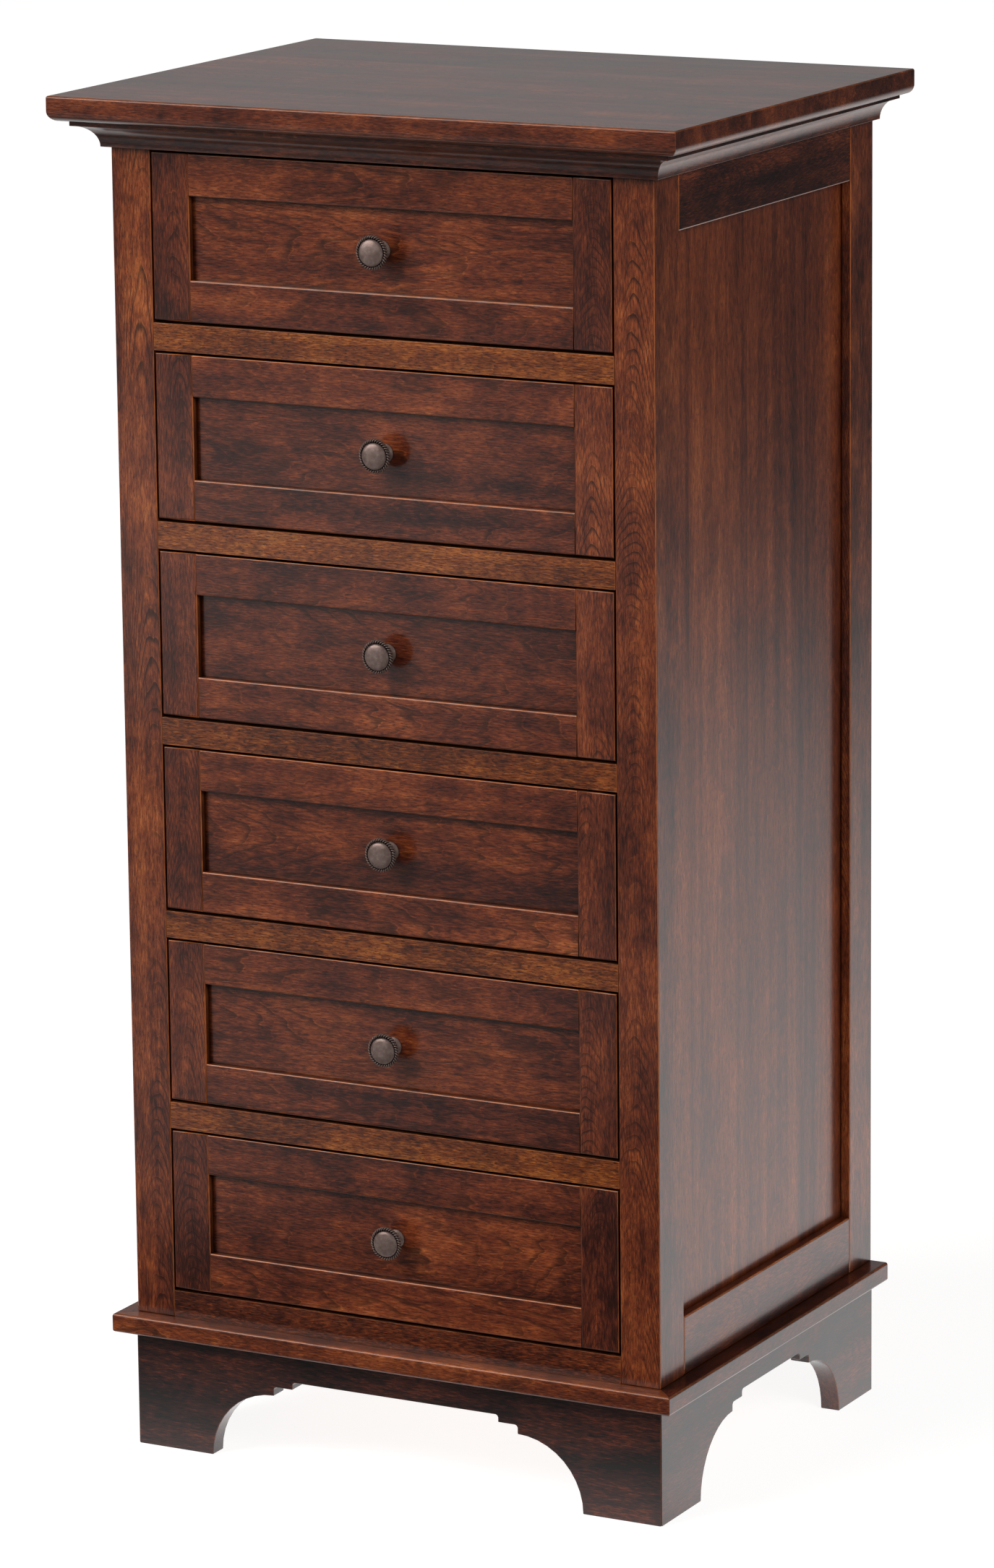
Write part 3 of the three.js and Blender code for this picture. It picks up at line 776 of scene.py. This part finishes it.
def felt_lift(u, v, number):
    """How far the felt stands off the floor, at shares u and v of its width and depth: shallow waves
    of each drawer's own that die out at the sheet's edge."""
    wave = math.sin(9 * u + number) * math.sin(7 * v + 2 * number) + 0.5 * math.sin(23 * u * v + number)
    from_edge = min(u, v, 1 - u, 1 - v) / FELT_EDGE_SHARE
    return FELT_WAVE * (1.5 + wave) * min(1.0, from_edge)


def felt_lining(number):
    """A felt sheet cut to the drawer's floor, lying on it in shallow waves."""
    low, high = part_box(f"drawer_{number}_box")
    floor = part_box(f"drawer_{number}_bottom")[1].z
    x0, x1 = low.x + WALL + FELT_MARGIN, high.x - WALL - FELT_MARGIN
    y0, y1 = low.y + WALL + FELT_MARGIN, high.y - WALL - FELT_MARGIN
    mesh = bmesh.new()
    grid = []
    for i in range(FELT_CELLS + 1):
        row = []
        for j in range(FELT_CELLS + 1):
            u, v = i / FELT_CELLS, j / FELT_CELLS
            z = floor + FELT_GAP + felt_lift(u, v, number)
            row.append(mesh.verts.new((x0 + (x1 - x0) * u, y0 + (y1 - y0) * v, z)))
        grid.append(row)
    for i in range(FELT_CELLS):
        for j in range(FELT_CELLS):
            mesh.faces.new((grid[i][j], grid[i + 1][j], grid[i + 1][j + 1], grid[i][j + 1]))
    bmesh.ops.recalc_face_normals(mesh, faces=mesh.faces)
    made = piece_from(mesh, f"drawer_{number}_felt", f"drawer_{number}")
    made.data.materials.append(FELT)
    thick = made.modifiers.new("thickness", "SOLIDIFY")
    thick.thickness = FELT_THICKNESS
    thick.offset = 1.0


def back_screws():
    """Pan-head screws down both sides of the back panel, in the posts' rabbets, and along its bottom."""
    low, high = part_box("back_panel")
    mesh = bmesh.new()
    places = []
    for i in range(SCREWS_HIGH):
        z = low.z + SCREW_END_INSET + (high.z - low.z - 2 * SCREW_END_INSET) * i / (SCREWS_HIGH - 1)
        places += [(low.x + SCREW_INSET, z), (high.x - SCREW_INSET, z)]
    for i in range(SCREWS_WIDE):
        places.append((low.x + (high.x - low.x) * (i + 1) / (SCREWS_WIDE + 1), low.z + SCREW_END_INSET))
    for at_x, at_z in places:
        revolve(mesh, SCREW_PROFILE, SCREW_SEGMENTS,
                lambda x, z, out: (at_x + x, high.y + out, at_z + z))
    bmesh.ops.recalc_face_normals(mesh, faces=mesh.faces)
    made = piece_from(mesh, "back_screws", "case")
    made.data.materials.append(STEEL)
    even_shading(made)


POST_TONES = {"left": 0.02, "right": 0.11}

# Carried-over boards: name, material, across axis, depth axis, tone, gold, ease.
BOARDS = [
    ("top_slab", CHERRY_TOP, "Y", "Z", -0.04, 0.0, JOINT_EASE * 3),
    ("crown_front", CHERRY_X, "Z", "Y", -0.10, 0.0, JOINT_EASE),
    ("base_moulding_front", CHERRY_X, "Z", "Y", 0.06, 0.2, JOINT_EASE),
    ("base_board_front", CHERRY_X, "Z", "Y", -0.28, 0.0, JOINT_EASE * 3),
    ("base_board_back", CHERRY_X, "Z", "Y", -0.15, 0.0, JOINT_EASE * 3),
    ("bottom_frame", CHERRY_RAIL, "Z", "Y", -0.04, 0.4, JOINT_EASE),
    ("top_frame", CHERRY_X, "Z", "Y", -0.12, 0.0, JOINT_EASE),
]
for side in SIDES:
    BOARDS += [
        (f"crown_{side}", CHERRY_Y, "Z", "X", -0.10, 0.0, JOINT_EASE),
        (f"base_moulding_{side}", CHERRY_Y, "Z", "X", -0.06, 0.0, JOINT_EASE),
        (f"base_board_{side}", CHERRY_Y, "Z", "X", -0.18, 0.0, JOINT_EASE * 3),
        (f"side_top_rail_{side}", CHERRY_Y, "Z", "X", -0.12, 0.0, RAIL_EASE),
        (f"side_bottom_rail_{side}", CHERRY_Y, "Z", "X", -0.12, 0.0, RAIL_EASE),
        (f"post_front_{side}", CHERRY_Z, "X", "Y", POST_TONES[side], 0.1, CASE_EASE),
        (f"post_back_{side}", CHERRY_Z, "X", "Y", 0.03, 0.0, CASE_EASE),
        (f"side_panel_{side}", CHERRY_PANEL, "Y", "X", 0.07, 0.0, JOINT_EASE),
    ]
for number in DRAWERS[:-1]:
    BOARDS.append((f"divider_frame_{number}", CHERRY_RAIL, "Z", "Y", 0.13, 0.95, JOINT_EASE * 2))
DRAWER_TONES = (-0.03, 0.0, 0.01, 0.0, 0.0, -0.03)
for number, tone in zip(DRAWERS, DRAWER_TONES):
    BOARDS.append((f"drawer_{number}_front_panel", CHERRY_X, "Z", "Y", tone + 0.02, 0.0, JOINT_EASE))

MOULDED = ("crown_", "base_", "top_slab")
IN_FRONT = ("divider_", "bottom_frame", "drawer_")
for index, (name, material, across, depth, tone, gold, ease) in enumerate(BOARDS):
    dress(NODES[name], material, 0.271 * (index + 1), across, depth, tone, gold,
          wear_and_highlight=MOULDED_WEAR_AND_HIGHLIGHT if name.startswith(MOULDED) else BOARD_WEAR_AND_HIGHLIGHT,
          corner=FRONT_PAINTED_SHADE if name.startswith(IN_FRONT) else SIDE_PAINTED_SHADE)
    soften(NODES[name], ease)

dress(NODES["back_panel"], PLY_Z, 3.3, "X", "Y")
soften(NODES["back_panel"], JOINT_EASE)
back_screws()
for number, tone in zip(DRAWERS, DRAWER_TONES):
    dress(NODES[f"drawer_{number}_bottom"], PLY_X, 4.1 + number * 0.37, "Y", "Z")
    soften(NODES[f"drawer_{number}_bottom"], JOINT_EASE)
    drawer_front(number, tone)
    knob(number)
    knob_screw(number)
    drawer_box(number)
    felt_lining(number)


# Stage: a pale floor, soft lights and the camera.
def stage_plane(name, size, place, material):
    mesh = bmesh.new()
    bmesh.ops.create_grid(mesh, x_segments=1, y_segments=1, size=size / 2)
    data = bpy.data.meshes.new(name)
    mesh.to_mesh(data)
    mesh.free()
    made = bpy.data.objects.new(name, data)
    made.location = place
    data.materials.append(material)
    bpy.context.scene.collection.objects.link(made)
    return made


def pale_floor():
    """The floor that the camera sees: near white, with a soft contact shadow."""
    g = Graph("pale_floor")
    return g.surface({
        "Base Color": (0.30, 0.30, 0.30, 1.0),
        "Roughness": 1.0,
        "Specular IOR Level": 0.0,
        "Emission Color": (1.0, 1.0, 1.0, 1.0),
        "Emission Strength": FLOOR_GLOW,
    })


def bounce_card():
    """What the chest sees of the floor: bright beside and behind it, fading with distance, and dim in
    front, but for a soft patch on the left."""
    g = Graph("bounce_card")
    parts = g.node("ShaderNodeSeparateXYZ", {0: g.node("ShaderNodeTexCoord").outputs["Object"]}).outputs
    x, y = parts[0], parts[1]
    away = g.math("SQRT", g.math("ADD", g.math("MULTIPLY", x, x), g.math("MULTIPLY", y, y)))
    fade = g.ramp(g.math("DIVIDE", away, 6.0), (
        (0.0, (1.0, 1.0, 1.0, 1.0)), (0.24, (0.85, 0.85, 0.85, 1.0)), (0.50, (0.58, 0.58, 0.58, 1.0)),
        (0.76, (0.10, 0.10, 0.10, 1.0)), (1.0, (0.03, 0.03, 0.03, 1.0)),
    ))
    behind = g.spread(y, -0.55, -0.05, 0.02, 1.0)
    patch = g.math("MULTIPLY", g.spread(y, -0.70, -1.00), g.spread(y, -2.60, -1.90))
    patch = g.math("MULTIPLY", patch, g.spread(x, -0.20, -0.75, 0.0, FRONT_LEFT_GLOW))
    strength = g.math("MULTIPLY", g.math("MULTIPLY", fade, g.math("ADD", behind, patch)), BOUNCE)
    shader = g.node("ShaderNodeEmission", {"Color": (1.0, 1.0, 1.0, 1.0), "Strength": strength})
    g.node("ShaderNodeOutputMaterial", {"Surface": shader.outputs[0]})
    return g.material


def backdrop():
    """A round white wall far from the chest, which only the camera sees."""
    g = Graph("white_backdrop")
    shader = g.node("ShaderNodeEmission", {"Color": (1.0, 1.0, 1.0, 1.0), "Strength": 1.0})
    g.node("ShaderNodeOutputMaterial", {"Surface": shader.outputs[0]})
    mesh = bmesh.new()
    bmesh.ops.create_cone(mesh, cap_ends=False, segments=BACKDROP_SEGMENTS,
                          radius1=BACKDROP_RADIUS, radius2=BACKDROP_RADIUS, depth=BACKDROP_HEIGHT)
    data = bpy.data.meshes.new("backdrop")
    mesh.to_mesh(data)
    mesh.free()
    data.materials.append(g.material)
    wall = bpy.data.objects.new("backdrop", data)
    bpy.context.scene.collection.objects.link(wall)
    return wall


def only_for_camera(piece):
    piece.visible_diffuse = False
    piece.visible_glossy = False


floor = stage_plane("floor", FLOOR_SIZE, (0, 0, -FLOOR_DROP), pale_floor())
only_for_camera(floor)
wall = backdrop()
only_for_camera(wall)
wall.visible_shadow = False
card = stage_plane("bounce", BOUNCE_SIZE, (0, 0, -BOUNCE_DROP), bounce_card())
card.visible_camera = False
card.visible_shadow = False


def light(kind, name, place, target, power, colour=(1, 1, 1), size=None, angle=0.0):
    data = bpy.data.lights.new(name, kind)
    data.energy = power
    data.color = colour
    if size:
        data.shape = "RECTANGLE"
        data.size, data.size_y = size
    if angle:
        data.angle = angle
    made = bpy.data.objects.new(name, data)
    made.location = place
    made.rotation_euler = (Vector(target) - Vector(place)).to_track_quat("-Z", "Y").to_euler()
    made.visible_camera = False
    bpy.context.scene.collection.objects.link(made)
    return made


sun = light("SUN", "soft_sun", (-2.0, -3.2, 3.9), (0, 0, 0), SUN_POWER, (1.0, 0.97, 0.93),
            angle=math.radians(28))
sun.visible_glossy = False
light("AREA", "key", (-2.3, -3.0, 2.7), (0, -0.2, 0.75), KEY_POWER, (1.0, 0.96, 0.92), size=(2.6, 2.6))
light("AREA", "back_card", (-2.3, 3.6, 1.9), (0, 0, 1.2), BACK_POWER, (1.0, 0.96, 0.96),
      size=(4.5, 1.6))
light("AREA", "low_left_card", (-1.8, -3.0, 0.2), (-0.2, -0.2, 0.7), LOW_LEFT_POWER, size=(1.0, 0.6))
light("AREA", "low_right_card", (1.5, -2.2, 0.35), (0.1, -0.2, 0.6), LOW_RIGHT_POWER, size=(1.2, 0.9))
side = light("AREA", "right_fill", (3.6, -2.0, 2.6), (0.2, 0, 0.6), RIGHT_POWER, (1.0, 0.95, 0.90),
             size=(1.8, 1.8))
side.visible_glossy = False

world = bpy.data.worlds.new("studio")
world.use_nodes = True
world.node_tree.nodes["Background"].inputs["Color"].default_value = (1, 1, 1, 1)
world.node_tree.nodes["Background"].inputs["Strength"].default_value = WORLD_GLOW
bpy.context.scene.world = world
bpy.context.scene.view_settings.view_transform = "Standard"

back = Vector((
    math.sin(CAMERA_YAW) * math.cos(CAMERA_PITCH),
    -math.cos(CAMERA_YAW) * math.cos(CAMERA_PITCH),
    math.sin(CAMERA_PITCH),
))
level = Vector((math.cos(CAMERA_YAW), math.sin(CAMERA_YAW), 0))
up = back.cross(level)
right = math.cos(CAMERA_ROLL) * level + math.sin(CAMERA_ROLL) * up
camera_data = bpy.data.cameras.new("camera")
camera_data.lens = CAMERA_LENS_MM
camera = bpy.data.objects.new("camera", camera_data)
bpy.context.scene.collection.objects.link(camera)
turn = Matrix((right, back.cross(right), back)).transposed().to_4x4()
camera.matrix_world = Matrix.Translation(CAMERA_PLACE) @ turn
bpy.context.scene.camera = camera
